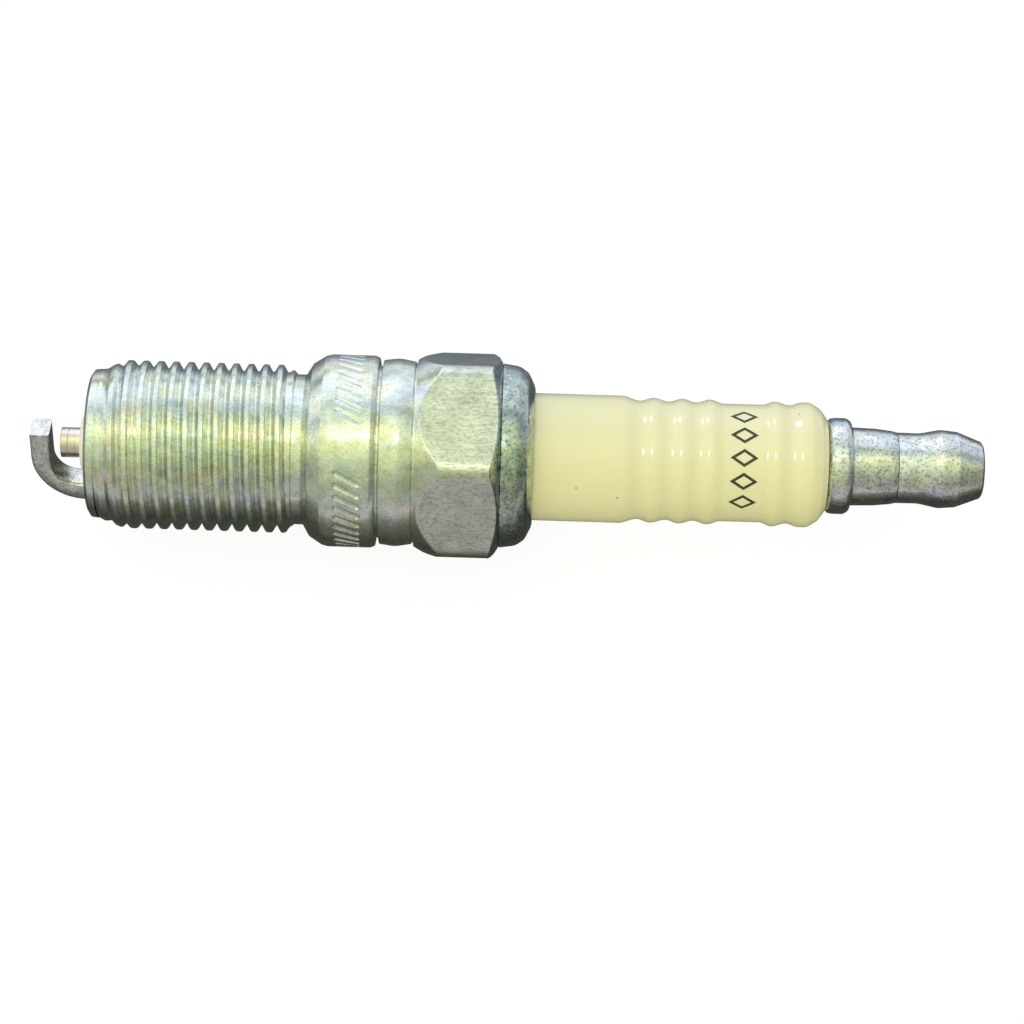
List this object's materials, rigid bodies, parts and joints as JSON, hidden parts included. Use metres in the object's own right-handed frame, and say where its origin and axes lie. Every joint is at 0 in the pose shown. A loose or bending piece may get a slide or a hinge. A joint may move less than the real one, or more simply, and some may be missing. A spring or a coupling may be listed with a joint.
{
  "type": "spark plug",
  "caption": "Spark plug with a threaded metal shell, conical seat, hexagon, ribbed ceramic insulator, bent ground electrode and a removable terminal nut.",
  "frame": {"origin": "on the plug's axis, halfway between the ground electrode's outer face and the terminal's end face", "axes": "+X along the axis towards the terminal, +Z square to one flat of the hexagon; the ground electrode is welded on at the lower left, seen from the terminal"},
  "size_m": [0.0792, 0.018, 0.016],
  "materials": {
    "zinc_plated_steel": "zinc plated, faintly iridescent",
    "strap_nickel": "nickel alloy, as rolled",
    "glazed_ceramic": "ivory gloss glaze",
    "electrode_nickel": "turned nickel alloy",
    "copper": "drawn copper",
    "fused_seal": "fused glass and metal powder",
    "plated_terminal": "zinc plated, turned",
    "plain_steel": "plain",
    "packed_talc": "packed powder"
  },
  "bodies": {
    "plug": {"metal_shell": "zinc_plated_steel", "ground_electrode": "strap_nickel", "insulator": "glazed_ceramic", "centre_electrode": "electrode_nickel", "centre_electrode_core": "copper", "glass_seal": "fused_seal", "terminal_stud": "plated_terminal", "inner_gasket": "plain_steel", "lower_packing_ring": "plain_steel", "talc_filling": "packed_talc", "upper_packing_ring": "plain_steel"},
    "nut": {"terminal_nut": "plated_terminal"}
  },
  "joints": [
    {"name": "terminal_nut_removal", "type": "slide", "parent": "plug", "child": "nut", "axis": [1, 0, 0], "range_m": [0, 0.008]}
  ]
}
